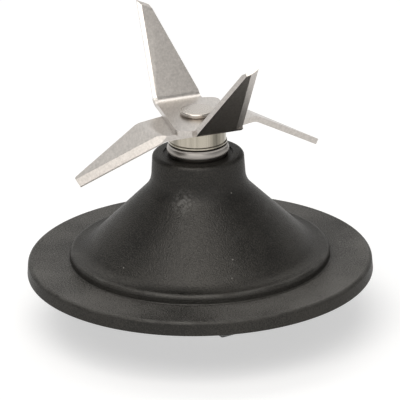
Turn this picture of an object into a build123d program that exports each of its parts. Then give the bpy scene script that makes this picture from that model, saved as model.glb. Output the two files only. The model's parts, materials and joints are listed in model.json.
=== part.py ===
import os
from math import cos, radians, sin

from build123d import *

# Blender blade unit: a moulded bell with a wide flange carries a bearing sleeve, and a spindle
# in it turns two crossed, bent blades. Millimetres, +Z up along the spindle, z 0 under the claws.

# Fits
running_gap = 0.03
seat_gap = 0.02
body_gap = 0.3

# Bell
stand_height = 14.2
flange_radius = 45.0
flange_height = 3.75
flange_draft = 0.3
step_radius = 34.0
step_height = 2.6
cone_setback = 3.6
neck_foot_radius = 12.4
neck_top_radius = 11.9
neck_height = 8.3
flange_edge_round = 1.1
step_foot_round = 0.4
step_edge_round = 1.2
cone_foot_round = 4.5
neck_foot_round = 7.0
neck_edge_round = 1.2
ring_recess_radius = 9.0
ring_recess_depth = 0.3
wall = 3.0
mouth_inset = 0.3
boss_radius = 10.5
boss_foot_height = 10.0
rib_count = 8
rib_thickness = 2.0
rib_foot_height = 9.0
rib_root = 1.0

# Bearing sleeve, its bushes, felt, seal and retaining ring
sleeve_radius = 7.0
sleeve_bore_radius = 6.0
sleeve_tail = 3.0
ring_radius = 8.45
ring_height = 3.0
ring_lip_height = 0.5
ring_lip_inset = 0.7
ring_foot_inset = 0.75
ring_bulge_height = 1.35
ring_bulge_round = 2.0
ring_lip_round = 0.2
bush_length = 8.0
bush_chamfer = 0.4
mouth_depth = 2.6
felt_thickness = 1.5
felt_gap = 0.2
seal_height = 1.7
seal_wall = 0.8
seal_lip = 0.5
seal_lip_rise = 1.2
sleeve_clip_thickness = 1.0
sleeve_clip_depth = 0.5
sleeve_clip_rim = 1.6
sleeve_clip_gap_angle = 40.0

# Spindle and what is stacked on it
spindle_radius = 3.97
tenon_radius = 3.4
tenon_flat = 2.6
head_radius = 4.5
head_height = 1.3
head_edge_round = 0.55
head_undercut = 0.35
thread_radius = 3.0
groove_depth = 0.8
tail_chamfer = 0.6
thread_relief = 0.3
spacer_radius = 7.62
spacer_height = 4.4
spacer_seat = 0.8
spacer_lip_height = 0.45
spacer_lip_inset = 0.25
spacer_edge_round = 0.25
washer_thickness = 0.4
washer_radius = 5.6
clip_thickness = 0.8
clip_radius = 6.0
clip_slot_angle = 70.0

# Blades: outward azimuths are in degrees, lateral sizes are positive towards the cutting edge,
# and wing sizes run from the end of the bend along the wing's upper face
sheet = 1.5
bend_radius = 3.5
edge_land = 0.4
corner_round = 0.8
grind_run = 8.0
grind_overlap = 0.4

upper_azimuth = 111.0
upper_bend_angle = 50.5
upper_bend_start = 11.3
upper_wing_length = 27.3
upper_lead = 6.8
upper_trail = 5.8
upper_tip_lead = 4.3
upper_tip_width = 3.0
upper_tip_slant = 1.6
upper_ear = 9.6
upper_ear_along = 10.0
upper_ear_round = 2.4
upper_inner_bevel = 0.95
upper_outer_bevel = 2.0
upper_inner_bevel_drop = 0.45
upper_tip_bevel = 1.2
upper_tip_bevel_drop = 0.7

lower_azimuth = 211.5
lower_bend_angle = 29.0
lower_bend_start = 12.9
lower_wing_length = 21.7
lower_lead = 6.2
lower_trail = 6.5
lower_tip_lead = -2.9
lower_tip_width = 3.1
lower_tip_slant = 0.8
lower_waist = 8.0
lower_bevel = 2.2

# Drive coupling and its threaded insert
coupling_radius = 15.0
claw_count = 4
claw_azimuth = -58.5
claw_width = 5.3
claw_inner_radius = 9.5
claw_outer_radius = 14.5
claw_height = 6.7
claw_round = 0.8
coupling_plate = 3.0
hub_radius = 8.0
hub_height = 9.4
hub_round = 0.6
insert_flat = 4.3
insert_foot = 1.2
insert_cap = 1.5
shank_seat = 1.0

# Bell radii that follow the step
cone_foot_radius = step_radius - cone_setback
mouth_radius = cone_foot_radius - mouth_inset

# Heights of the stack, from the claws' feet up
flange_top = stand_height + flange_height
step_top = flange_top + step_height
neck_foot = step_top + cone_foot_radius - neck_foot_radius
neck_top = neck_foot + neck_height
ring_seat = neck_top - ring_recess_depth
ring_top = ring_seat + ring_height
spacer_bottom = ring_top + body_gap
spacer_top = spacer_bottom + spacer_height
shoulder = spacer_bottom + spacer_seat
lower_z = spacer_top + seat_gap
upper_z = lower_z + sheet + seat_gap
head_z = upper_z + sheet + seat_gap
boss_foot = stand_height + boss_foot_height
sleeve_foot = boss_foot - sleeve_tail
lower_washer_top = sleeve_foot - body_gap
clip_top = lower_washer_top - washer_thickness - seat_gap
groove_foot = clip_top - clip_thickness - seat_gap
plate_foot = claw_height
hub_foot = plate_foot + coupling_plate
hub_top = hub_foot + hub_height


def beside(azimuth, lateral):
    """Upright plane along a blade: x runs outward at the azimuth, y is up, lateral shifts it sideways."""
    a = radians(azimuth)
    origin = (-sin(a) * lateral, cos(a) * lateral, 0)
    return Plane(origin=origin, x_dir=(cos(a), sin(a), 0), z_dir=(sin(a), -cos(a), 0))


def on_wing(azimuth, along, height, tilt):
    """Plane of a wing's upper face: x runs up the wing, y towards its cutting edge."""
    a = radians(azimuth)
    t = radians(tilt)
    origin = (cos(a) * along, sin(a) * along, height)
    x_dir = (cos(t) * cos(a), cos(t) * sin(a), sin(t))
    z_dir = (-sin(t) * cos(a), -sin(t) * sin(a), cos(t))
    return Plane(origin=origin, x_dir=x_dir, z_dir=z_dir)


def across_edge(face, start, end, lead_in):
    """Plane across an edge from start to end on a face, lead_in before it: x runs off the edge, y out of the face."""
    run = Vector(end[0] - start[0], end[1] - start[1], 0).normalized()
    off = Vector(-run.Y, run.X, 0)
    origin = face.from_local_coords(Vector(start[0], start[1], 0) - run * lead_in)
    along = face.from_local_coords(run) - face.origin
    x_dir = face.from_local_coords(off) - face.origin
    return Plane(origin=origin, x_dir=x_dir, z_dir=along)


# Bell: flange, step, cone and neck in one moulding, hollow below, with a ribbed bearing boss
with BuildPart() as base_bell:
    with BuildSketch(Plane.XZ) as bell_skin:
        with BuildLine():
            Polyline(
                (0, stand_height),
                (flange_radius + flange_draft, stand_height),
                (flange_radius, flange_top),
                (step_radius, flange_top),
                (step_radius, step_top),
                (cone_foot_radius, step_top),
                (neck_foot_radius, neck_foot),
                (neck_top_radius, neck_top),
                (0, neck_top),
                close=True,
            )
        make_face()
        fillet(bell_skin.vertices().sort_by_distance((flange_radius, flange_top))[0], flange_edge_round)
        fillet(bell_skin.vertices().sort_by_distance((step_radius, flange_top))[0], step_foot_round)
        fillet(bell_skin.vertices().sort_by_distance((step_radius, step_top))[0], step_edge_round)
        fillet(bell_skin.vertices().sort_by_distance((cone_foot_radius, step_top))[0], cone_foot_round)
        fillet(bell_skin.vertices().sort_by_distance((neck_foot_radius, neck_foot))[0], neck_foot_round)
        fillet(bell_skin.vertices().sort_by_distance((neck_top_radius, neck_top))[0], neck_edge_round)
    revolve(axis=Axis.Z)
    hollow_cone = cone_foot_radius + step_top - wall * 2**0.5
    with BuildSketch(Plane.XZ):
        with BuildLine():
            Polyline(
                (0, stand_height),
                (mouth_radius, stand_height),
                (hollow_cone - flange_top, flange_top),
                (boss_radius, hollow_cone - boss_radius),
                (boss_radius, boss_foot),
                (0, boss_foot),
                close=True,
            )
        make_face()
    revolve(axis=Axis.Z, mode=Mode.SUBTRACT)
    rib_foot = stand_height + rib_foot_height
    for k in range(rib_count):
        with BuildSketch(beside((k + 0.5) * 360 / rib_count, 0)):
            with BuildLine():
                Polyline(
                    (boss_radius - rib_root, rib_foot),
                    (hollow_cone - rib_foot + rib_root, rib_foot),
                    (boss_radius - rib_root, hollow_cone - boss_radius + 2 * rib_root),
                    close=True,
                )
            make_face()
        extrude(amount=rib_thickness / 2, both=True)
    with BuildSketch(Plane.XY.offset(ring_seat)):
        Circle(ring_recess_radius)
    extrude(amount=ring_recess_depth, mode=Mode.SUBTRACT)
    with BuildSketch(Plane.XY):
        Circle(sleeve_radius + seat_gap)
    extrude(amount=neck_top, mode=Mode.SUBTRACT)

# Bearing sleeve: a steel tube whose rounded ring sits on the neck
with BuildPart() as bearing_sleeve:
    lip_foot = ring_top - ring_lip_height
    ring_bulge = ring_seat + ring_bulge_height
    sleeve_clip_z = boss_foot - seat_gap - sleeve_clip_thickness
    with BuildSketch(Plane.XZ) as sleeve_section:
        with BuildLine():
            Polyline(
                (sleeve_bore_radius, sleeve_foot),
                (sleeve_radius, sleeve_foot),
                (sleeve_radius, sleeve_clip_z - seat_gap),
                (sleeve_radius - sleeve_clip_depth, sleeve_clip_z - seat_gap),
                (sleeve_radius - sleeve_clip_depth, boss_foot),
                (sleeve_radius, boss_foot),
                (sleeve_radius, ring_seat + seat_gap),
                (ring_radius - ring_foot_inset, ring_seat + seat_gap),
                (ring_radius, ring_bulge),
                (ring_radius - ring_lip_inset, lip_foot),
                (ring_radius - ring_lip_inset, ring_top),
                (sleeve_bore_radius, ring_top),
                close=True,
            )
        make_face()
        fillet(sleeve_section.vertices().sort_by_distance((ring_radius, ring_bulge))[0], ring_bulge_round)
        fillet(sleeve_section.vertices().sort_by_distance((ring_radius - ring_lip_inset, ring_top))[0], ring_lip_round)
    revolve(axis=Axis.Z)

# Two plain bushes in the sleeve
bush_outer = sleeve_bore_radius - seat_gap
bush_bore = spindle_radius + running_gap
upper_bush_foot = ring_top - mouth_depth - bush_length
with BuildPart() as upper_bush:
    with BuildSketch(Plane.XY.offset(upper_bush_foot)):
        Circle(bush_outer)
        Circle(bush_bore, mode=Mode.SUBTRACT)
    extrude(amount=bush_length)
    chamfer(upper_bush.edges().group_by(Axis.Z)[0].sort_by(SortBy.RADIUS)[-1], bush_chamfer)

with BuildPart() as lower_bush:
    with BuildSketch(Plane.XY.offset(sleeve_foot)):
        Circle(bush_outer)
        Circle(bush_bore, mode=Mode.SUBTRACT)
    extrude(amount=bush_length)
    chamfer(lower_bush.edges().group_by(Axis.Z)[-1].sort_by(SortBy.RADIUS)[-1], bush_chamfer)

# Oil felt between the bushes
with BuildPart() as oil_felt:
    with BuildSketch(Plane.XY.offset(sleeve_foot + bush_length + felt_gap)):
        Circle(bush_outer)
        Circle(bush_outer - felt_thickness, mode=Mode.SUBTRACT)
    extrude(amount=upper_bush_foot - sleeve_foot - bush_length - 2 * felt_gap)

# Shaft seal in the sleeve's mouth, with a lip that leans towards the spindle
with BuildPart() as shaft_seal:
    seal_foot = ring_top - mouth_depth + seat_gap
    lip_radius = spindle_radius + body_gap
    with BuildSketch(Plane.XZ):
        with BuildLine():
            Polyline(
                (bush_outer, seal_foot),
                (bush_outer, seal_foot + seal_height),
                (bush_outer - seal_wall, seal_foot + seal_height),
                (bush_outer - seal_wall, seal_foot + seal_lip),
                (lip_radius, seal_foot + seal_lip_rise),
                (lip_radius, seal_foot + seal_lip_rise - seal_lip),
                (bush_outer - seal_wall, seal_foot),
                close=True,
            )
        make_face()
    revolve(axis=Axis.Z)

# Open retaining ring that holds the sleeve against the boss
with BuildPart() as sleeve_clip:
    with BuildSketch(Plane.XY.offset(sleeve_clip_z)):
        Circle(sleeve_radius + sleeve_clip_rim)
        Circle(sleeve_radius - sleeve_clip_depth + seat_gap, mode=Mode.SUBTRACT)
        half_gap = radians(sleeve_clip_gap_angle / 2)
        with BuildLine():
            Polyline(
                (0, 0),
                (coupling_radius * cos(half_gap), coupling_radius * sin(half_gap)),
                (coupling_radius * cos(half_gap), -coupling_radius * sin(half_gap)),
                close=True,
            )
        make_face(mode=Mode.SUBTRACT)
    extrude(amount=sleeve_clip_thickness)

# Spindle: round shank, two-flat tenon for the blades, riveted head, clip groove and threaded tail
with BuildPart() as spindle:
    tail_foot = plate_foot + insert_foot
    shank_foot = hub_top - shank_seat
    with BuildSketch(Plane.XZ) as shank_section:
        with BuildLine():
            Polyline(
                (0, tail_foot),
                (thread_radius - tail_chamfer, tail_foot),
                (thread_radius, tail_foot + tail_chamfer),
                (thread_radius, shank_foot),
                (spindle_radius - groove_depth, shank_foot),
                (spindle_radius - groove_depth, clip_top + seat_gap),
                (spindle_radius, clip_top + seat_gap),
                (spindle_radius, shoulder),
                (0, shoulder),
                close=True,
            )
        make_face()
    revolve(axis=Axis.Z)
    with BuildSketch(Plane.XY.offset(shank_foot + thread_relief)):
        Circle(spindle_radius)
    extrude(amount=groove_foot - shank_foot - thread_relief)
    with BuildSketch(Plane.XY.offset(shoulder)):
        Circle(tenon_radius)
        Rectangle(4 * tenon_radius, 2 * tenon_flat, mode=Mode.INTERSECT, rotation=upper_azimuth)
    extrude(amount=head_z - shoulder)
    head_top = head_z + head_height
    with BuildSketch(Plane.XZ) as head_section:
        with BuildLine():
            Polyline(
                (0, head_z),
                (head_radius - head_undercut, head_z),
                (head_radius, head_z + head_undercut),
                (head_radius, head_top),
                (0, head_top),
                close=True,
            )
        make_face()
        fillet(head_section.vertices().sort_by_distance((head_radius, head_top))[0], head_edge_round)
    revolve(axis=Axis.Z)

# Bright collar under the blades
with BuildPart() as blade_spacer:
    with BuildSketch(Plane.XZ) as spacer_section:
        with BuildLine():
            Polyline(
                (0, spacer_bottom),
                (spacer_radius, spacer_bottom),
                (spacer_radius, spacer_bottom + spacer_lip_height),
                (spacer_radius - spacer_lip_inset, spacer_bottom + spacer_lip_height + spacer_lip_inset),
                (spacer_radius - spacer_lip_inset, spacer_top),
                (0, spacer_top),
                close=True,
            )
        make_face()
        fillet(spacer_section.vertices().sort_by_distance((spacer_radius, spacer_top))[0], spacer_edge_round)
    revolve(axis=Axis.Z)
    with BuildSketch(Plane.XY.offset(spacer_bottom)):
        Circle(spindle_radius + seat_gap)
    extrude(amount=spacer_seat + seat_gap, mode=Mode.SUBTRACT)
    with BuildSketch(Plane.XY.offset(spacer_bottom)):
        Circle(tenon_radius + seat_gap)
        Rectangle(4 * tenon_radius, 2 * (tenon_flat + seat_gap), mode=Mode.INTERSECT, rotation=upper_azimuth)
    extrude(amount=spacer_height, mode=Mode.SUBTRACT)

# Thrust washers above and below the bushes
with BuildPart() as upper_washer:
    with BuildSketch(Plane.XY.offset(spacer_bottom - seat_gap - washer_thickness)):
        Circle(washer_radius)
        Circle(spindle_radius + seat_gap, mode=Mode.SUBTRACT)
    extrude(amount=washer_thickness)

with BuildPart() as lower_washer:
    with BuildSketch(Plane.XY.offset(lower_washer_top - washer_thickness)):
        Circle(washer_radius)
        Circle(spindle_radius + seat_gap, mode=Mode.SUBTRACT)
    extrude(amount=washer_thickness)

# Slotted clip in the spindle's groove
with BuildPart() as spindle_clip:
    with BuildSketch(Plane.XY.offset(clip_top - clip_thickness)):
        Circle(clip_radius)
        Circle(spindle_radius - groove_depth + seat_gap, mode=Mode.SUBTRACT)
        half_slot = radians(clip_slot_angle / 2)
        with BuildLine():
            Polyline(
                (0, 0),
                (coupling_radius * cos(half_slot), coupling_radius * sin(half_slot)),
                (coupling_radius * cos(half_slot), -coupling_radius * sin(half_slot)),
                close=True,
            )
        make_face(mode=Mode.SUBTRACT)
    extrude(amount=clip_thickness)

# Upper blade: an eared hub plate with two wings bent up, ground on both faces of the cutting edges
upper_top = upper_z + sheet
upper_rise = radians(upper_bend_angle)
upper_wing_along = upper_bend_start + bend_radius * sin(upper_rise)
upper_wing_z = upper_top + bend_radius * (1 - cos(upper_rise))
upper_tip_trail = upper_tip_lead - upper_tip_width
with BuildPart() as upper_blade:
    with BuildSketch(Plane.XY.offset(upper_z).rotated((0, 0, upper_azimuth))) as upper_hub:
        with BuildLine():
            Polyline(
                (upper_bend_start, upper_lead),
                (upper_bend_start, -upper_trail),
                (upper_ear_along, -upper_ear),
                (-upper_bend_start, -upper_lead),
                (-upper_bend_start, upper_trail),
                (-upper_ear_along, upper_ear),
                close=True,
            )
        make_face()
        for turn in (1, -1):
            ear_corner = (turn * upper_ear_along, -turn * upper_ear)
            fillet(upper_hub.vertices().sort_by_distance(ear_corner)[0], upper_ear_round)
    extrude(amount=sheet)
    for azimuth in (upper_azimuth, upper_azimuth + 180):
        with BuildSketch(beside(azimuth, upper_lead)):
            with BuildLine():
                inside = CenterArc((upper_bend_start, upper_top + bend_radius), bend_radius, -90, upper_bend_angle)
                outside = CenterArc((upper_bend_start, upper_top + bend_radius), bend_radius + sheet, -90, upper_bend_angle)
                Line(inside @ 0, outside @ 0)
                Line(inside @ 1, outside @ 1)
            make_face()
        extrude(amount=upper_lead + upper_trail)
        wing = on_wing(azimuth, upper_wing_along, upper_wing_z, upper_bend_angle)
        with BuildSketch(wing):
            with BuildLine():
                Polyline(
                    (0, upper_lead),
                    (upper_wing_length, upper_tip_lead),
                    (upper_wing_length - upper_tip_slant, upper_tip_trail),
                    (0, -upper_trail),
                    close=True,
                )
            make_face()
        extrude(amount=-sheet)
        tip_lead = (upper_wing_length, upper_tip_lead)
        tip_trail = (upper_wing_length - upper_tip_slant, upper_tip_trail)
        with BuildSketch(across_edge(wing, (0, upper_lead), tip_lead, grind_overlap)):
            with BuildLine():
                Polyline(
                    (-upper_inner_bevel, 0),
                    (0, -upper_inner_bevel_drop),
                    (sheet, -upper_inner_bevel_drop),
                    (sheet, sheet),
                    (-upper_inner_bevel, sheet),
                    close=True,
                )
            make_face()
        extrude(amount=upper_wing_length + 2 * sheet, mode=Mode.SUBTRACT)
        with BuildSketch(across_edge(wing, (0, upper_lead), tip_lead, grind_overlap)):
            with BuildLine():
                Polyline(
                    (-upper_outer_bevel, -sheet),
                    (0, -upper_inner_bevel_drop - edge_land),
                    (sheet, -upper_inner_bevel_drop - edge_land),
                    (sheet, -2 * sheet),
                    (-upper_outer_bevel, -2 * sheet),
                    close=True,
                )
            make_face()
        extrude(amount=upper_wing_length + 2 * sheet, mode=Mode.SUBTRACT)
        with BuildSketch(across_edge(wing, tip_lead, tip_trail, sheet)):
            with BuildLine():
                Polyline(
                    (-upper_tip_bevel, 0),
                    (0, -upper_tip_bevel_drop),
                    (sheet, -upper_tip_bevel_drop),
                    (sheet, sheet),
                    (-upper_tip_bevel, sheet),
                    close=True,
                )
            make_face()
        extrude(amount=upper_tip_width + 3 * sheet, mode=Mode.SUBTRACT)
        start = on_wing(azimuth, upper_bend_start, upper_top, 0)
        with BuildSketch(across_edge(start, (0, upper_lead), (1, upper_lead), 0)):
            with BuildLine():
                Polyline(
                    (-upper_inner_bevel, 0),
                    (0, -upper_inner_bevel_drop),
                    (sheet, -upper_inner_bevel_drop),
                    (sheet, sheet),
                    (-upper_inner_bevel, sheet),
                    close=True,
                )
            make_face()
        bend_centre = start.from_local_coords((0, 0, bend_radius))
        bend_line = Axis(bend_centre, start.y_dir * -1)
        revolve(axis=bend_line, revolution_arc=upper_bend_angle + grind_overlap, mode=Mode.SUBTRACT)
    with BuildSketch(Plane.XY.offset(upper_z)):
        Circle(tenon_radius + seat_gap)
        Rectangle(4 * tenon_radius, 2 * (tenon_flat + seat_gap), mode=Mode.INTERSECT, rotation=upper_azimuth)
    extrude(amount=sheet, mode=Mode.SUBTRACT)

# Lower blade: a waisted hub plate with two swept wings bent down, ground on the upper face
lower_top = lower_z + sheet
lower_fall = radians(lower_bend_angle)
lower_wing_along = lower_bend_start + (bend_radius + sheet) * sin(lower_fall)
lower_wing_z = lower_top - (bend_radius + sheet) * (1 - cos(lower_fall))
lower_tip_trail = lower_tip_lead - lower_tip_width
with BuildPart() as lower_blade:
    with BuildSketch(Plane.XY.offset(lower_z).rotated((0, 0, lower_azimuth))):
        with BuildLine():
            Polyline(
                (lower_bend_start, lower_lead),
                (lower_bend_start, -lower_trail),
                (0, -lower_waist),
                (-lower_bend_start, -lower_lead),
                (-lower_bend_start, lower_trail),
                (0, lower_waist),
                close=True,
            )
        make_face()
    extrude(amount=sheet)
    for azimuth in (lower_azimuth, lower_azimuth + 180):
        with BuildSketch(beside(azimuth, lower_lead)):
            with BuildLine():
                inside = CenterArc((lower_bend_start, lower_z - bend_radius), bend_radius, 90, -lower_bend_angle)
                outside = CenterArc((lower_bend_start, lower_z - bend_radius), bend_radius + sheet, 90, -lower_bend_angle)
                Line(inside @ 0, outside @ 0)
                Line(inside @ 1, outside @ 1)
            make_face()
        extrude(amount=lower_lead + lower_trail)
        wing = on_wing(azimuth, lower_wing_along, lower_wing_z, -lower_bend_angle)
        with BuildSketch(wing) as lower_wing:
            with BuildLine():
                Polyline(
                    (0, lower_lead),
                    (lower_wing_length, lower_tip_lead),
                    (lower_wing_length - lower_tip_slant, lower_tip_trail),
                    (0, -lower_trail),
                    close=True,
                )
            make_face()
            tip_corner = (lower_wing_length - lower_tip_slant, lower_tip_trail)
            fillet(lower_wing.vertices().sort_by_distance(tip_corner)[0], corner_round)
        extrude(amount=-sheet)
        with BuildSketch(across_edge(wing, (0, lower_lead), (lower_wing_length, lower_tip_lead), grind_run)):
            with BuildLine():
                Polyline(
                    (-lower_bevel, 0),
                    (0, edge_land - sheet),
                    (sheet, edge_land - sheet),
                    (sheet, sheet),
                    (-lower_bevel, sheet),
                    close=True,
                )
            make_face()
        extrude(amount=lower_wing_length + 2 * grind_run, mode=Mode.SUBTRACT)
    with BuildSketch(Plane.XY.offset(lower_z)):
        Circle(tenon_radius + seat_gap)
        Rectangle(4 * tenon_radius, 2 * (tenon_flat + seat_gap), mode=Mode.INTERSECT, rotation=upper_azimuth)
    extrude(amount=sheet, mode=Mode.SUBTRACT)

# Drive coupling: a hub on a round plate with four claws that stand on the table
with BuildPart() as drive_coupling:
    with BuildSketch(Plane.XY.offset(plate_foot)):
        Circle(coupling_radius)
    extrude(amount=coupling_plate)
    with BuildSketch(Plane.XY.offset(hub_foot)):
        Circle(hub_radius)
    extrude(amount=hub_height)
    fillet(drive_coupling.edges().group_by(Axis.Z)[-1], hub_round)
    claw_length = claw_outer_radius - claw_inner_radius
    claw_middle = (claw_outer_radius + claw_inner_radius) / 2
    with BuildSketch(Plane.XY):
        with PolarLocations(claw_middle, claw_count, start_angle=claw_azimuth):
            RectangleRounded(claw_length, claw_width, claw_round)
    extrude(amount=claw_height)
    with BuildSketch(Plane.XY.offset(plate_foot)):
        RegularPolygon(insert_flat + seat_gap, 6, major_radius=False)
    extrude(amount=coupling_plate + hub_height - insert_cap, mode=Mode.SUBTRACT)
    with BuildSketch(Plane.XY.offset(plate_foot)):
        Circle(spindle_radius + body_gap)
    extrude(amount=coupling_plate + hub_height, mode=Mode.SUBTRACT)

# Threaded six-sided insert moulded into the coupling's hub
with BuildPart() as coupling_insert:
    with BuildSketch(Plane.XY.offset(plate_foot + seat_gap)):
        RegularPolygon(insert_flat, 6, major_radius=False)
        Circle(thread_radius + seat_gap, mode=Mode.SUBTRACT)
    extrude(amount=coupling_plate + hub_height - insert_cap - 2 * seat_gap)

os.makedirs("parts", exist_ok=True)
base_bell.part.label = "base_bell"
export_step(base_bell.part, "parts/base_bell.step")
bearing_sleeve.part.label = "bearing_sleeve"
export_step(bearing_sleeve.part, "parts/bearing_sleeve.step")
upper_bush.part.label = "upper_bush"
export_step(upper_bush.part, "parts/upper_bush.step")
lower_bush.part.label = "lower_bush"
export_step(lower_bush.part, "parts/lower_bush.step")
oil_felt.part.label = "oil_felt"
export_step(oil_felt.part, "parts/oil_felt.step")
shaft_seal.part.label = "shaft_seal"
export_step(shaft_seal.part, "parts/shaft_seal.step")
sleeve_clip.part.label = "sleeve_clip"
export_step(sleeve_clip.part, "parts/sleeve_clip.step")
spindle.part.label = "spindle"
export_step(spindle.part, "parts/spindle.step")
blade_spacer.part.label = "blade_spacer"
export_step(blade_spacer.part, "parts/blade_spacer.step")
upper_washer.part.label = "upper_washer"
export_step(upper_washer.part, "parts/upper_washer.step")
lower_washer.part.label = "lower_washer"
export_step(lower_washer.part, "parts/lower_washer.step")
spindle_clip.part.label = "spindle_clip"
export_step(spindle_clip.part, "parts/spindle_clip.step")
upper_blade.part.label = "upper_blade"
export_step(upper_blade.part, "parts/upper_blade.step")
lower_blade.part.label = "lower_blade"
export_step(lower_blade.part, "parts/lower_blade.step")
drive_coupling.part.label = "drive_coupling"
export_step(drive_coupling.part, "parts/drive_coupling.step")
coupling_insert.part.label = "coupling_insert"
export_step(coupling_insert.part, "parts/coupling_insert.step")
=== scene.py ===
import json
import math

import bmesh
import bpy
from mathutils import Matrix, Vector


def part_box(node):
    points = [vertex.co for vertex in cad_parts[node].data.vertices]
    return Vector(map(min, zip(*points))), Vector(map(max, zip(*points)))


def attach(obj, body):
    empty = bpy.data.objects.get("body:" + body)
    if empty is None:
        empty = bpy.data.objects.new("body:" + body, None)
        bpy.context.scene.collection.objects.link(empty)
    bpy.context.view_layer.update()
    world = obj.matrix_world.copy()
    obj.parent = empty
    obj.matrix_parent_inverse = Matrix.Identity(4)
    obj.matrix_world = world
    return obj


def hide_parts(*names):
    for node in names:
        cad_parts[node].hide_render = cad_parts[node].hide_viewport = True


# Blender blade unit: black moulded bell, steel ring and collar, two crossed blades. Sizes are in
# millimetres here and become metres in the meshes.

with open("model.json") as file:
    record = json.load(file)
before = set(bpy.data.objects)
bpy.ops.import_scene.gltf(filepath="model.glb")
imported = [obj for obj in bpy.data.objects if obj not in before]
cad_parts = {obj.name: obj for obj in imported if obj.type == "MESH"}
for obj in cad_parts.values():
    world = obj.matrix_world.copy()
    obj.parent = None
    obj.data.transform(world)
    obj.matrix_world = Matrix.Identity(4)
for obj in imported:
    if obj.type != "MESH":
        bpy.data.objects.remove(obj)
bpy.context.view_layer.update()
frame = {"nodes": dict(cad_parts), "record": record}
scene = bpy.context.scene
MM = 0.001
# Height of the flange's underside; the outlines below count their heights from it
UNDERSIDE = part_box("base_bell")[0].z / MM
FLANGE_TOP = 3.75
STEP_RADIUS = 34.0

WELD = 1e-7  # metres, joins the points of a finished mesh
CAD_WELD = 2e-6  # metres, joins the loose triangles of a CAD mesh
ON_AXIS = 1e-6  # millimetres, an outline's point nearer than this lies on the axis
FLAT_ANGLE = 0.6  # degrees, faces that differ by less are one flat face
EDGE_PROFILE = 0.6  # shape of an eased edge, a little fuller than an arc
LEAST_ARC_STEPS = 3


# Mesh helpers

def rounded(corners, steps=10):
    """Outline through (radius, height, corner round) points, with an arc at each corner."""
    out = []
    n = len(corners)
    for i, (r, z, fillet) in enumerate(corners):
        p = Vector((r, z))
        if fillet <= 0:
            out.append(p)
            continue
        a = (Vector(corners[i - 1][:2]) - p).normalized()
        b = (Vector(corners[(i + 1) % n][:2]) - p).normalized()
        half = a.angle(b) / 2
        reach = fillet / math.tan(half)
        centre = p + (a + b).normalized() * (fillet / math.sin(half))
        start, end = p + a * reach - centre, p + b * reach - centre
        sweep = start.angle(end)
        side = 1 if start.x * end.y - start.y * end.x > 0 else -1
        count = max(LEAST_ARC_STEPS, round(steps * sweep / (math.pi / 2)))
        for k in range(count + 1):
            turn = Matrix.Rotation(side * sweep * k / count, 2)
            out.append(centre + turn @ start)
    return [(p.x, p.y) for p in out]


def flat_shaded_flats(obj):
    """Weighs normals by face area, so that flat faces stay flat beside their rounds."""
    modifier = obj.modifiers.new("area_weight", "WEIGHTED_NORMAL")
    modifier.keep_sharp = True
    depsgraph = bpy.context.evaluated_depsgraph_get()
    weighed = bpy.data.meshes.new_from_object(obj.evaluated_get(depsgraph))
    obj.modifiers.remove(modifier)
    before = obj.data
    obj.data = weighed
    bpy.data.meshes.remove(before)
    weighed.name = obj.name


def finished(name, bm, body, slot, nodes=(), sharp=32):
    """Links a finished mesh at the origin, shades it, and puts it under its body's empty."""
    bmesh.ops.remove_doubles(bm, verts=bm.verts, dist=WELD)
    bmesh.ops.recalc_face_normals(bm, faces=bm.faces)
    mesh = bpy.data.meshes.new(name)
    bm.to_mesh(mesh)
    bm.free()
    for polygon in mesh.polygons:
        polygon.use_smooth = True
    mesh.set_sharp_from_angle(angle=math.radians(sharp))
    mesh.materials.append(finishes[slot])
    obj = bpy.data.objects.new(name, mesh)
    scene.collection.objects.link(obj)
    flat_shaded_flats(obj)
    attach(obj, body)
    if nodes:
        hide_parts(*nodes)


def turned(outline, segments=192):
    """Closed outline of (radius, height) turned about the spindle's axis."""
    bm = bmesh.new()
    rings = []
    for r, z in outline:
        height = (UNDERSIDE + z) * MM
        if r < ON_AXIS:
            rings.append([bm.verts.new((0, 0, height))] * segments)
            continue
        ring = []
        for k in range(segments):
            a = 2 * math.pi * k / segments
            ring.append(bm.verts.new((r * MM * math.cos(a), r * MM * math.sin(a), height)))
        rings.append(ring)
    for i in range(len(rings)):
        low, high = rings[i], rings[(i + 1) % len(rings)]
        for k in range(segments):
            m = (k + 1) % segments
            corners = []
            for v in (low[k], low[m], high[m], high[k]):
                if v not in corners:
                    corners.append(v)
            if len(corners) > 2:
                bm.faces.new(corners)
    return bm


def prism(points, depth):
    """Flat outline in the XZ plane, in millimetres, given a thickness centred on Y."""
    bm = bmesh.new()
    near, far = [
        [bm.verts.new((x * MM, y * MM, (UNDERSIDE + z) * MM)) for x, z in points]
        for y in (-depth / 2, depth / 2)
    ]
    bm.faces.new(near)
    bm.faces.new(far)
    for i in range(len(points)):
        j = (i + 1) % len(points)
        bm.faces.new((near[i], near[j], far[j], far[i]))
    bmesh.ops.recalc_face_normals(bm, faces=bm.faces)
    return bm


def merged_copy(node):
    """A copy of a CAD node's mesh with its loose triangles joined into whole faces."""
    bm = bmesh.new()
    bm.from_mesh(frame["nodes"][node].data)
    bmesh.ops.remove_doubles(bm, verts=bm.verts, dist=CAD_WELD)
    limit = math.radians(FLAT_ANGLE)
    bmesh.ops.dissolve_limit(bm, angle_limit=limit, verts=bm.verts, edges=bm.edges)
    return bm


def eased(bm, width, segments=2, angle=28):
    """Rounds a mesh's sharp edges over by width, in millimetres."""
    limit = math.radians(angle)
    edges = [e for e in bm.edges if len(e.link_faces) == 2 and e.calc_face_angle(0) > limit]
    bmesh.ops.bevel(
        bm, geom=edges, offset=width * MM, offset_type="WIDTH", segments=segments,
        profile=EDGE_PROFILE, affect="EDGES", clamp_overlap=True,
    )
    return bm


# Geometry Nodes tree for what repeats round the axis: bell ribs and coupling claws

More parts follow.
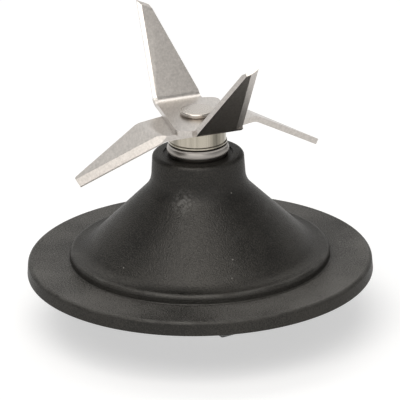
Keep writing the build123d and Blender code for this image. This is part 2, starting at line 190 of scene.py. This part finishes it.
def ring_tree():
    """The tree, and the names by which a modifier sets its inputs."""
    tree = bpy.data.node_groups.new("copies_round_axis", "GeometryNodeTree")
    face = tree.interface
    face.new_socket("Geometry", in_out="INPUT", socket_type="NodeSocketGeometry")
    copies = face.new_socket("Copies", in_out="INPUT", socket_type="NodeSocketInt")
    first = face.new_socket("First angle", in_out="INPUT", socket_type="NodeSocketFloat")
    finish = face.new_socket("Finish", in_out="INPUT", socket_type="NodeSocketMaterial")
    face.new_socket("Geometry", in_out="OUTPUT", socket_type="NodeSocketGeometry")
    nodes, links = tree.nodes, tree.links
    given = nodes.new("NodeGroupInput")
    whole = nodes.new("GeometryNodeGeometryToInstance")
    repeat = nodes.new("GeometryNodeDuplicateElements")
    repeat.domain = "INSTANCE"
    step = nodes.new("ShaderNodeMath")
    step.operation = "DIVIDE"
    step.inputs[0].default_value = 2 * math.pi
    angle = nodes.new("ShaderNodeMath")
    angle.operation = "MULTIPLY_ADD"
    vector = nodes.new("ShaderNodeCombineXYZ")
    turn = nodes.new("GeometryNodeRotateInstances")
    turn.inputs["Local Space"].default_value = False
    real = nodes.new("GeometryNodeRealizeInstances")
    paint = nodes.new("GeometryNodeSetMaterial")
    given_out = nodes.new("NodeGroupOutput")
    links.new(given.outputs["Geometry"], whole.inputs[0])
    links.new(whole.outputs[0], repeat.inputs["Geometry"])
    links.new(given.outputs["Copies"], repeat.inputs["Amount"])
    links.new(given.outputs["Copies"], step.inputs[1])
    links.new(repeat.outputs["Duplicate Index"], angle.inputs[0])
    links.new(step.outputs[0], angle.inputs[1])
    links.new(given.outputs["First angle"], angle.inputs[2])
    links.new(angle.outputs[0], vector.inputs["Z"])
    links.new(repeat.outputs["Geometry"], turn.inputs["Instances"])
    links.new(vector.outputs[0], turn.inputs["Rotation"])
    links.new(turn.outputs[0], real.inputs[0])
    links.new(real.outputs[0], paint.inputs["Geometry"])
    links.new(given.outputs["Finish"], paint.inputs["Material"])
    links.new(paint.outputs[0], given_out.inputs[0])
    sockets = {"copies": copies, "first": first, "finish": finish}
    return tree, {key: socket.identifier for key, socket in sockets.items()}


RING, RING_INPUTS = ring_tree()


def copies_round_axis(bm, copies, first_degrees, slot):
    """Runs the ring tree on one rib or claw and returns the plain mesh of all of them."""
    seed_mesh = bpy.data.meshes.new("ring_seed")
    bm.to_mesh(seed_mesh)
    bm.free()
    holder = bpy.data.objects.new("ring_seed", seed_mesh)
    scene.collection.objects.link(holder)
    modifier = holder.modifiers.new("copies", "NODES")
    modifier.node_group = RING
    modifier[RING_INPUTS["copies"]] = copies
    modifier[RING_INPUTS["first"]] = math.radians(first_degrees)
    modifier[RING_INPUTS["finish"]] = finishes[slot]
    depsgraph = bpy.context.evaluated_depsgraph_get()
    result = bpy.data.meshes.new_from_object(holder.evaluated_get(depsgraph))
    out = bmesh.new()
    out.from_mesh(result)
    holder.modifiers.remove(modifier)
    bpy.data.objects.remove(holder)
    bpy.data.meshes.remove(result)
    return out


# Materials

BLACK, WHITE = (0, 0, 0), (1, 1, 1)


class Nodes:
    """Small helper round the shader nodes of one material or world."""

    def __init__(self, owner, output):
        owner.use_nodes = True
        self.tree = owner.node_tree
        self.tree.nodes.clear()
        self.out = self.node(output)

    def node(self, kind, **values):
        made = self.tree.nodes.new(kind)
        for key, value in values.items():
            setattr(made, key, value)
        return made

    def link(self, a, b):
        self.tree.links.new(a, b)

    def feed(self, socket, value):
        """Sets a colour or number directly on a socket, or links another socket to it."""
        if isinstance(value, tuple):
            socket.default_value = (*value, 1)
        elif isinstance(value, (int, float)):
            socket.default_value = value
        else:
            self.link(value, socket)

    def surface(self, shader):
        self.link(shader, self.out.inputs["Surface"])

    def shade(self, kind, colour, **sockets):
        """Shader of one colour, with its other sockets by name."""
        made = self.node(kind)
        self.feed(made.inputs["Color"], colour)
        for key, value in sockets.items():
            self.feed(made.inputs[key], value)
        return made.outputs[0]

    def mix_shader(self, factor, a, b):
        made = self.node("ShaderNodeMixShader")
        for value, socket in zip((factor, a, b), made.inputs):
            self.link(value, socket)
        return made.outputs[0]

    def math(self, operation, a, b=0.0):
        made = self.node("ShaderNodeMath", operation=operation)
        self.feed(made.inputs[0], a)
        self.feed(made.inputs[1], b)
        return made.outputs[0]

    def span(self, value, given, wanted):
        """Maps the given range of a value to the wanted one, and holds it at the ends."""
        made = self.node("ShaderNodeMapRange")
        for key, number in zip(("From Min", "From Max", "To Min", "To Max"), given + wanted):
            made.inputs[key].default_value = number
        self.link(value, made.inputs["Value"])
        return made.outputs[0]

    def split(self, vector):
        """X, Y and Z of a vector."""
        made = self.node("ShaderNodeSeparateXYZ")
        self.link(vector, made.inputs[0])
        return made.outputs


class Finish(Nodes):
    """One material with a Principled shader, on Object coordinates."""

    def __init__(self, name):
        self.material = bpy.data.materials.new(name)
        super().__init__(self.material, "ShaderNodeOutputMaterial")
        self.shader = self.node("ShaderNodeBsdfPrincipled")
        self.surface(self.shader.outputs[0])
        self.place = self.node("ShaderNodeTexCoord").outputs["Object"]

    def set(self, **values):
        """Feeds sockets of the Principled shader; _ stands for a blank in a name."""
        for key, value in values.items():
            self.feed(self.shader.inputs[key.replace("_", " ")], value)

    def stretched(self, scale, turn=(0, 0, 0)):
        """Object coordinates, turned by degrees and stretched."""
        mapping = self.node("ShaderNodeMapping")
        mapping.inputs["Rotation"].default_value = [math.radians(t) for t in turn]
        mapping.inputs["Scale"].default_value = scale
        self.link(self.place, mapping.inputs["Vector"])
        return mapping.outputs[0]

    def noise(self, scale, detail, rough, vector=None):
        made = self.node("ShaderNodeTexNoise")
        made.inputs["Scale"].default_value = scale
        made.inputs["Detail"].default_value = detail
        made.inputs["Roughness"].default_value = rough
        self.link(vector or self.place, made.inputs["Vector"])
        return made.outputs[0]

    def ramp(self, value, low, high):
        """Colour that runs between two (position, colour) stops."""
        made = self.node("ShaderNodeValToRGB")
        for element, (position, colour) in zip(made.color_ramp.elements, (low, high)):
            element.position = position
            element.color = (*colour, 1)
        self.link(value, made.inputs[0])
        return made.outputs[0]

    def mix(self, factor, a, b):
        """Colour a, turning into b as the factor rises."""
        made = self.node("ShaderNodeMix", data_type="RGBA")
        self.link(factor, made.inputs["Factor"])
        self.feed(made.inputs[6], a)
        self.feed(made.inputs[7], b)
        return made.outputs[2]

    def times(self, a, b):
        return self.math("MULTIPLY", a, b)

    def weighed(self, a, share, b):
        """Sum of two values: a by its share, b by the rest."""
        return self.math("ADD", self.times(a, share), self.times(b, 1 - share))

    def bump(self, height, strength, distance):
        made = self.node("ShaderNodeBump")
        made.inputs["Strength"].default_value = strength
        made.inputs["Distance"].default_value = distance
        self.link(height, made.inputs["Height"])
        self.relief = made.outputs[0]
        self.set(Normal=self.relief)


def from_axis(f):
    """Distance from the spindle's axis, in metres."""
    place = f.split(f.place)
    flat = f.node("ShaderNodeCombineXYZ")
    f.link(place["X"], flat.inputs["X"])
    f.link(place["Y"], flat.inputs["Y"])
    reach = f.node("ShaderNodeVectorMath", operation="LENGTH")
    f.link(flat.outputs[0], reach.inputs[0])
    return reach.outputs["Value"]


def rim_band(f, distance, radius, width):
    """1 on the rim of that radius, in millimetres, falling to 0 a width away from it."""
    off = f.math("ABSOLUTE", f.math("SUBTRACT", distance, radius * MM))
    return f.span(off, (0.0, width * MM), (1.0, 0.0))


# The black moulding: its colour, what lies on it or is rubbed into it, and the highlights and
# light painted into it
PLASTIC = (0.024, 0.0222, 0.0190)
SCUFF = (0.060, 0.059, 0.056)
DUST = (0.126, 0.121, 0.113)
SPECK = (0.27, 0.26, 0.24)
RIM_RUB_AND_HIGHLIGHT = (0.085, 0.083, 0.078)
STEP_FOOT_DUST_AND_LIGHT = (0.075, 0.072, 0.066)
PALE_PATCH_AND_HIGHLIGHT = (0.16, 0.157, 0.15)
GLOSS_TINT = (1.0, 0.958, 0.895)
FLANGE_RIM, STEP_RIM, STEP_FOOT = 44.6, 33.5, 34.02  # radii of the bands, in millimetres
DUST_STARTS, DUST_FULL = 33.8, 34.6
RUB_AND_HIGHLIGHT_PLACE = (-4.0, -13.5, UNDERSIDE + 23.8)


def moulded_black():
    """Grained black moulding, dusty where it faces up, rubbed and given painted highlights on
    its rims, with painted light at the foot of the step and a painted highlight patch on the
    cone, under a low gloss.
    """
    f = Finish("black_moulded_plastic")
    upward = f.split(f.node("ShaderNodeNewGeometry").outputs["Normal"])["Z"]
    distance = from_axis(f)

    # Mottled body with a few scuffs
    cloud = f.noise(38, 4, 0.55)
    grain = f.noise(2900, 2, 0.6)
    mottle = f.weighed(cloud, 0.4, grain)
    body = f.ramp(mottle, (0.44, BLACK), (0.57, PLASTIC))
    scuff = f.noise(1.0, 5, 0.62, f.stretched((140, 140, 420), (0, 18, 30)))
    colour = f.mix(f.span(scuff, (0.60, 0.80), (0.0, 0.45)), body, SCUFF)

    # Dust on the flange, outside the step
    level = f.span(upward, (0.80, 1.0), (0.0, 1.0))
    outside = f.span(distance, (DUST_STARTS * MM, DUST_FULL * MM), (0.1, 1.0))
    dust = f.times(f.times(level, outside), f.span(mottle, (0.43, 0.57), (0.0, 1.1)))
    colour = f.mix(dust, colour, DUST)

    # Single pale specks, in some of the cells
    cells = f.node("ShaderNodeTexVoronoi", feature="F1")
    cells.inputs["Scale"].default_value = 210
    f.link(f.place, cells.inputs["Vector"])
    near = f.span(cells.outputs["Distance"], (0.030, 0.055), (1.0, 0.0))
    tone = f.node("ShaderNodeSeparateColor")
    f.link(cells.outputs["Color"], tone.inputs[0])
    chosen = f.span(tone.outputs[0], (0.66, 0.70), (0.0, 0.75))
    colour = f.mix(f.times(near, chosen), colour, SPECK)

    # Rims made pale along their rounds: partly rubbed wear, partly a painted highlight
    rims = [rim_band(f, distance, radius, 0.5) for radius in (FLANGE_RIM, STEP_RIM)]
    on_round = f.times(f.math("MAXIMUM", *rims), f.span(upward, (0.2, 0.5), (0.0, 1.0)))
    rim_rub_and_highlight = f.times(on_round, f.span(f.noise(160, 4, 0.6), (0.40, 0.60), (0.05, 0.6)))
    colour = f.mix(rim_rub_and_highlight, colour, RIM_RUB_AND_HIGHLIGHT)
    # Pale band at the foot of the step: partly settled dust, partly painted light that lifts the
    # shade on the step's wall
    colour = f.mix(f.times(rim_band(f, distance, STEP_FOOT, 0.25), 0.25), colour, STEP_FOOT_DUST_AND_LIGHT)

    # One pale patch on the front of the cone: partly a rubbed mark, partly a painted highlight
    # where the foot of the neck catches the light
    reach = f.node("ShaderNodeVectorMath", operation="DISTANCE")
    reach.inputs[1].default_value = [size * MM for size in RUB_AND_HIGHLIGHT_PLACE]
    f.link(f.place, reach.inputs[0])
    inside = f.span(reach.outputs["Value"], (0.2 * MM, 4.2 * MM), (1.0, 0.0))
    patch_and_highlight = f.times(inside, f.span(f.noise(1300, 3, 0.6), (0.42, 0.62), (0.0, 0.7)))
    colour = f.mix(patch_and_highlight, colour, PALE_PATCH_AND_HIGHLIGHT)

    f.set(Base_Color=colour, Specular_IOR_Level=0.02, Roughness=0.30)
    f.bump(grain, 0.8, 0.2 * MM)

    # A thin gloss over it all, weaker where dust lies and on upright walls
    rough = f.span(cloud, (0.3, 0.7), (0.31, 0.38))
    gloss = f.shade("ShaderNodeBsdfAnisotropic", GLOSS_TINT, Roughness=rough, Normal=f.relief)
    through_dust = f.span(dust, (0.0, 0.6), (0.040, 0.011))
    shine = f.times(through_dust, f.span(upward, (0.1, 0.6), (0.82, 1.0)))
    f.surface(f.mix_shader(shine, f.shader.outputs[0], gloss))
    return f.material


def steel(name, light, dark, gloss, stretch, turn, lines, depth):
    """Metal whose colour, gloss and bump run along the lines of its grain."""
    f = Finish(name)
    along = f.stretched(stretch, turn)
    both = f.weighed(f.noise(1.0, 4, 0.6, along), 0.7, f.noise(1500, 2, 0.5))
    f.set(
        Base_Color=f.ramp(both, (0.30, dark), (0.70, light)),
        Roughness=f.span(both, (0.35, 0.65), gloss),
        Metallic=1.0,
    )
    f.bump(f.noise(lines, 2, 0.7, along), 0.02, depth * MM)
    return f.material


def lathe_steel(name, light, dark, gloss, pitch):
    """Turned metal: fine rings round the axis in colour, gloss and bump."""
    f = Finish(name)
    across = f.node("ShaderNodeCombineXYZ")
    f.link(from_axis(f), across.inputs["X"])
    f.link(f.split(f.place)["Z"], across.inputs["Y"])
    rings = f.noise(pitch, 3, 0.65, across.outputs[0])
    both = f.weighed(rings, 0.35, f.noise(90, 3, 0.5))
    f.set(
        Base_Color=f.ramp(both, (0.36, dark), (0.64, light)),
        Roughness=f.span(both, (0.35, 0.65), gloss),
        Metallic=1.0,
    )
    f.bump(rings, 0.05, 0.03 * MM)
    return f.material


def streaked_steel(name, light, dark, gloss):
    """Collar steel with upright light and dark streaks in its colour: partly draw marks, partly
    painted reflections of light and dark surroundings.
    """
    f = Finish(name)
    draw_marks_and_reflections = f.noise(1.0, 3, 0.55, f.stretched((230, 230, 6), (0, 0, 80)))
    fine = f.noise(1.0, 2, 0.6, f.stretched((1900, 1900, 40)))
    both = f.weighed(draw_marks_and_reflections, 0.75, fine)
    f.set(
        Base_Color=f.ramp(both, (0.36, dark), (0.64, light)),
        Roughness=f.span(both, (0.35, 0.65), gloss),
        Metallic=1.0,
    )
    f.bump(fine, 0.10, 0.03 * MM)
    return f.material


def plain(name, light, dark, scale, rough, grain, depth, metallic=0.0):
    """Mottled colour with a fine grain, for plastics, rubber, felt and sintered metal."""
    f = Finish(name)
    cloud = f.noise(scale, 4, 0.55)
    f.set(
        Base_Color=f.ramp(cloud, (0.33, dark), (0.68, light)),
        Roughness=f.span(cloud, (0.3, 0.7), (rough - 0.06, rough + 0.06)),
        Metallic=metallic,
    )
    f.bump(f.noise(grain, 2, 0.6), 0.25, depth * MM)
    return f.material


# By slot: light and dark colour first, depths of bumps in millimetres
finishes = {
    "black_plastic": moulded_black(),
    "blade_steel": steel(
        "blade_sheet_steel", (0.64, 0.60, 0.562), (0.45, 0.422, 0.393), gloss=(0.28, 0.34),
        stretch=(1900, 420, 1900), turn=(0, 0, 21), lines=1.0, depth=0.02,
    ),
    "spindle_steel": lathe_steel(
        "riveted_head_steel", (0.56, 0.52, 0.47), (0.47, 0.43, 0.39), gloss=(0.20, 0.32),
        pitch=2600,
    ),
    "bright_steel": streaked_steel(
        "bright_collar_steel", (0.46, 0.422, 0.352), (0.13, 0.121, 0.099), gloss=(0.24, 0.16),
    ),
    "satin_steel": lathe_steel(
        "satin_ring_steel", (0.45, 0.42, 0.39), (0.34, 0.32, 0.295), gloss=(0.34, 0.44),
        pitch=3000,
    ),
    "spring_steel": steel(
        "dark_spring_steel", (0.33, 0.33, 0.34), (0.22, 0.22, 0.23), gloss=(0.25, 0.40),
        stretch=(500, 500, 500), turn=(0, 0, 0), lines=2.0, depth=0.01,
    ),
    "bronze": plain(
        "sintered_bronze", (0.56, 0.39, 0.20), (0.42, 0.28, 0.13),
        scale=240, rough=0.48, grain=4200, depth=0.04, metallic=1.0,
    ),
    "insert_brass": plain(
        "machined_brass", (0.70, 0.53, 0.25), (0.58, 0.43, 0.19),
        scale=120, rough=0.30, grain=2600, depth=0.02, metallic=1.0,
    ),
    "felt": plain(
        "oiled_felt", (0.50, 0.47, 0.41), (0.34, 0.32, 0.27),
        scale=320, rough=0.85, grain=5200, depth=0.10,
    ),
    "seal_rubber": plain(
        "seal_rubber_black", (0.040, 0.040, 0.041), (0.024, 0.024, 0.025),
        scale=160, rough=0.60, grain=3600, depth=0.04,
    ),
    "washer_plastic": plain(
        "washer_plastic_pale", (0.82, 0.81, 0.77), (0.74, 0.73, 0.69),
        scale=140, rough=0.42, grain=3200, depth=0.02,
    ),
    "grey_plastic": plain(
        "coupling_plastic_grey", (0.72, 0.72, 0.705), (0.62, 0.62, 0.61),
        scale=110, rough=0.48, grain=2800, depth=0.05,
    ),
}

slot_of = {s["node"]: s["material_slot"] for s in frame["record"]["subparts"]}
for node, obj in frame["nodes"].items():
    obj.data.materials.clear()
    obj.data.materials.append(finishes[slot_of[node]])


# Pieces. Outlines are (radius, height above the flange's underside, corner round)

# Bell with its ribs
bell_outline = rounded([
    (7.02, 10.0, 0.3), (10.5, 10.0, 0.5), (10.5, 22.007, 1.0), (28.757, FLANGE_TOP, 1.5),
    (30.1, 0.0, 0.5), (45.3, 0.0, 0.3), (45.0, FLANGE_TOP, 1.1), (STEP_RADIUS, FLANGE_TOP, 0.4),
    (STEP_RADIUS, 6.35, 1.2), (30.4, 6.35, 4.5), (12.4, 24.35, 7.0), (11.9, 32.65, 1.2),
    (9.0, 32.65, 0.15), (9.0, 32.35, 0.0), (7.02, 32.35, 0.0),
])
finished("bell", turned(bell_outline, 256), "base", "black_plastic", ["base_bell"])
RIBS, FIRST_RIB, RIB_THICK = 8, 22.5, 2.0
rib = eased(prism([(10.0, 9.0), (23.9, 9.0), (10.0, 22.8)], RIB_THICK), 0.25)
rib_ring = copies_round_axis(rib, RIBS, FIRST_RIB, "black_plastic")
finished("bell_ribs", rib_ring, "base", "black_plastic")

# Bearing sleeve with the rounded ring that shows on the neck
sleeve_outline = rounded([
    (6.0, 7.0, 0.2), (7.0, 7.0, 0.2), (7.0, 8.96, 0.0), (6.5, 8.96, 0.0), (6.5, 10.0, 0.0),
    (7.0, 10.0, 0.0), (7.0, 32.37, 0.0), (7.7, 32.37, 0.25), (8.45, 33.7, 2.0),
    (7.75, 34.85, 0.12), (7.75, 35.35, 0.2), (6.0, 35.35, 0.3),
])
finished("sleeve_ring", turned(sleeve_outline), "base", "satin_steel", ["bearing_sleeve"])

# Collar under the blades
collar_outline = rounded([
    (3.99, 35.65, 0.15), (7.62, 35.65, 0.12), (7.62, 36.10, 0.1), (7.37, 36.35, 0.1),
    (7.37, 40.05, 0.25), (3.42, 40.05, 0.0), (3.42, 36.47, 0.0), (3.99, 36.47, 0.0),
])
finished("collar", turned(collar_outline), "cutter", "bright_steel", ["blade_spacer"])

# Spindle with its riveted head
spindle_outline = rounded([
    (0.0, -6.3, 0.0), (2.4, -6.3, 0.0), (3.0, -5.7, 0.0), (3.0, 3.9, 0.0), (3.97, 4.2, 0.2),
    (3.97, 5.46, 0.1), (3.17, 5.46, 0.0), (3.17, 6.30, 0.0), (3.97, 6.30, 0.1),
    (3.97, 36.45, 0.1), (3.39, 36.45, 0.0), (3.39, 43.11, 0.0), (4.15, 43.11, 0.0),
    (4.5, 43.46, 0.2), (4.5, 44.41, 0.55), (0.0, 44.41, 0.0),
])
finished("spindle_head", turned(spindle_outline, 128), "cutter", "spindle_steel", ["spindle"])

# Blades, from the bent sheets, with their punched and ground edges just eased
for node in ("upper_blade", "lower_blade"):
    sheet = eased(merged_copy(node), 0.22, segments=3, angle=24)
    finished(node + "_sheet", sheet, "cutter", "blade_steel", [node], sharp=26)

# Drive coupling: turned plate with its hub, and four claws down to the floor
plate_outline = rounded([
    (4.3, -7.5, 0.2), (15.0, -7.5, 0.5), (15.0, -4.5, 0.5), (8.0, -4.5, 0.8), (8.0, 4.9, 0.6),
    (4.3, 4.9, 0.3),
])
plate = turned(plate_outline, 128)
finished("coupling_plate", plate, "cutter", "grey_plastic", ["drive_coupling"])
CLAWS, FIRST_CLAW, CLAW_THICK = 4, -58.5, 5.3
CLAW_INNER, CLAW_OUTER, CLAW_ROOT, CLAW_FOOT = 9.5, 14.5, -7.3, -UNDERSIDE
claw_outline = [
    (CLAW_INNER, CLAW_FOOT), (CLAW_OUTER, CLAW_FOOT),
    (CLAW_OUTER, CLAW_ROOT), (CLAW_INNER, CLAW_ROOT),
]
claw = eased(prism(claw_outline, CLAW_THICK), 0.7, segments=4)
claw_ring = copies_round_axis(claw, CLAWS, FIRST_CLAW, "grey_plastic")
finished("coupling_claws", claw_ring, "cutter", "grey_plastic")


# Floor and world

def white_for_sight(nodes, lit, seen):
    """Camera, glossy and transmission rays take the seen shader, other rays the lit one."""
    path = nodes.node("ShaderNodeLightPath").outputs
    either = nodes.math("MAXIMUM", path["Is Camera Ray"], path["Is Transmission Ray"])
    any_sight = nodes.math("MAXIMUM", either, path["Is Glossy Ray"])
    return nodes.mix_shader(any_sight, lit, seen)


PAPER, SEEN_PAPER = (0.85, 0.85, 0.85), (0.60, 0.60, 0.60)
PAPER_GLOW = 0.55
FLOOR_HALF, FLOOR_DROP = 3, -0.05 * MM

floor_finish = bpy.data.materials.new("pale_floor")
ground = Nodes(floor_finish, "ShaderNodeOutputMaterial")
lifted = ground.node("ShaderNodeAddShader")
ground.link(ground.shade("ShaderNodeBsdfDiffuse", SEEN_PAPER), lifted.inputs[0])
ground.link(ground.shade("ShaderNodeEmission", WHITE, Strength=PAPER_GLOW), lifted.inputs[1])
paper = ground.shade("ShaderNodeBsdfDiffuse", PAPER)
# Clear from below, so that views from there show the part
ground.surface(ground.mix_shader(
    ground.node("ShaderNodeNewGeometry").outputs["Backfacing"],
    white_for_sight(ground, paper, lifted.outputs[0]),
    ground.node("ShaderNodeBsdfTransparent").outputs[0],
))
floor_mesh = bpy.data.meshes.new("floor")
floor_corners = [
    (x * FLOOR_HALF, y * FLOOR_HALF, FLOOR_DROP) for x, y in ((-1, -1), (1, -1), (1, 1), (-1, 1))
]
floor_mesh.from_pydata(floor_corners, [], [(0, 1, 2, 3)])
floor_mesh.materials.append(floor_finish)
floor = bpy.data.objects.new("floor", floor_mesh)
scene.collection.objects.link(floor)

ROOM_LIGHT = 0.25
# The backdrop dims from white towards grey overhead, and sooner to the sides
SIDE_RANGE, SIDE_RISE = (0.48, 0.75), (0.0, 0.58)
DIM_RANGE, DIM_LEVELS = (0.45, 1.0), (1.0, 0.28)

world = bpy.data.worlds.new("studio")
scene.world = world
sky = Nodes(world, "ShaderNodeOutputWorld")
direction = sky.split(sky.node("ShaderNodeTexCoord").outputs["Generated"])
flank = sky.span(sky.math("ABSOLUTE", direction["X"]), SIDE_RANGE, SIDE_RISE)
level = sky.span(sky.math("ADD", direction["Z"], flank), DIM_RANGE, DIM_LEVELS)
room = sky.shade("ShaderNodeBackground", WHITE, Strength=ROOM_LIGHT)
backdrop = sky.shade("ShaderNodeBackground", WHITE, Strength=level)
sky.surface(white_for_sight(sky, room, backdrop))


# Lamps

LAMP_AIM = Vector((0, 0, 0.035))


def softbox(name, place, width, height, watts, colour):
    """Rectangular lamp, in metres, turned towards the part."""
    lamp = bpy.data.lights.new(name, "AREA")
    lamp.shape = "RECTANGLE"
    lamp.size, lamp.size_y = width, height
    lamp.energy = watts
    lamp.color = colour
    obj = bpy.data.objects.new(name, lamp)
    obj.location = place
    obj.rotation_mode = "QUATERNION"
    obj.rotation_quaternion = (LAMP_AIM - Vector(place)).to_track_quat("-Z", "Y")
    scene.collection.objects.link(obj)


softbox("overhead_box", (-0.16, 0.42, 0.88), 1.10, 0.40, watts=2.7, colour=(1.0, 0.99, 0.97))
softbox("front_box", (-0.15, -0.50, 0.92), 0.94, 0.80, watts=6.5, colour=(1.0, 0.98, 0.95))


# Camera, as found from the photo

SENSOR_WIDTH, LENS = 36.0, 343.6
NEAREST, FURTHEST = 0.05, 20
CAMERA_AWAY = 1.0  # metres from the middle of the flange's top
CAMERA_RISE, CAMERA_TIP = math.radians(22.1), math.radians(1.08)
PIXELS_PER_MM = 3.8046
AIM_RIGHT, AIM_UP = 1.06, 54.76  # pixels from the middle of the flange's top

camera_data = bpy.data.cameras.new("photo_camera")
camera_data.sensor_width = SENSOR_WIDTH
camera_data.lens = LENS
camera_data.clip_start, camera_data.clip_end = NEAREST, FURTHEST
camera = bpy.data.objects.new("photo_camera", camera_data)
scene.collection.objects.link(camera)
sight = Vector((0, math.cos(CAMERA_RISE), -math.sin(CAMERA_RISE)))
right = Vector((1, 0, 0))
up = Vector((0, math.sin(CAMERA_RISE), math.cos(CAMERA_RISE)))
flange_centre = Vector((0, 0, (UNDERSIDE + FLANGE_TOP) * MM))
place = flange_centre - sight * CAMERA_AWAY
aim = flange_centre + (right * AIM_RIGHT + up * AIM_UP) * (MM / PIXELS_PER_MM)
look = (aim - place).normalized()
side = look.cross(Vector((0, 0, 1))).normalized()
top = side.cross(look)
tipped_side = side * math.cos(CAMERA_TIP) - top * math.sin(CAMERA_TIP)
tipped_top = side * math.sin(CAMERA_TIP) + top * math.cos(CAMERA_TIP)
turn = Matrix((tipped_side, tipped_top, -look)).transposed()
camera.matrix_world = Matrix.Translation(place) @ turn.to_4x4()
scene.camera = camera

scene.view_settings.view_transform = "Standard"
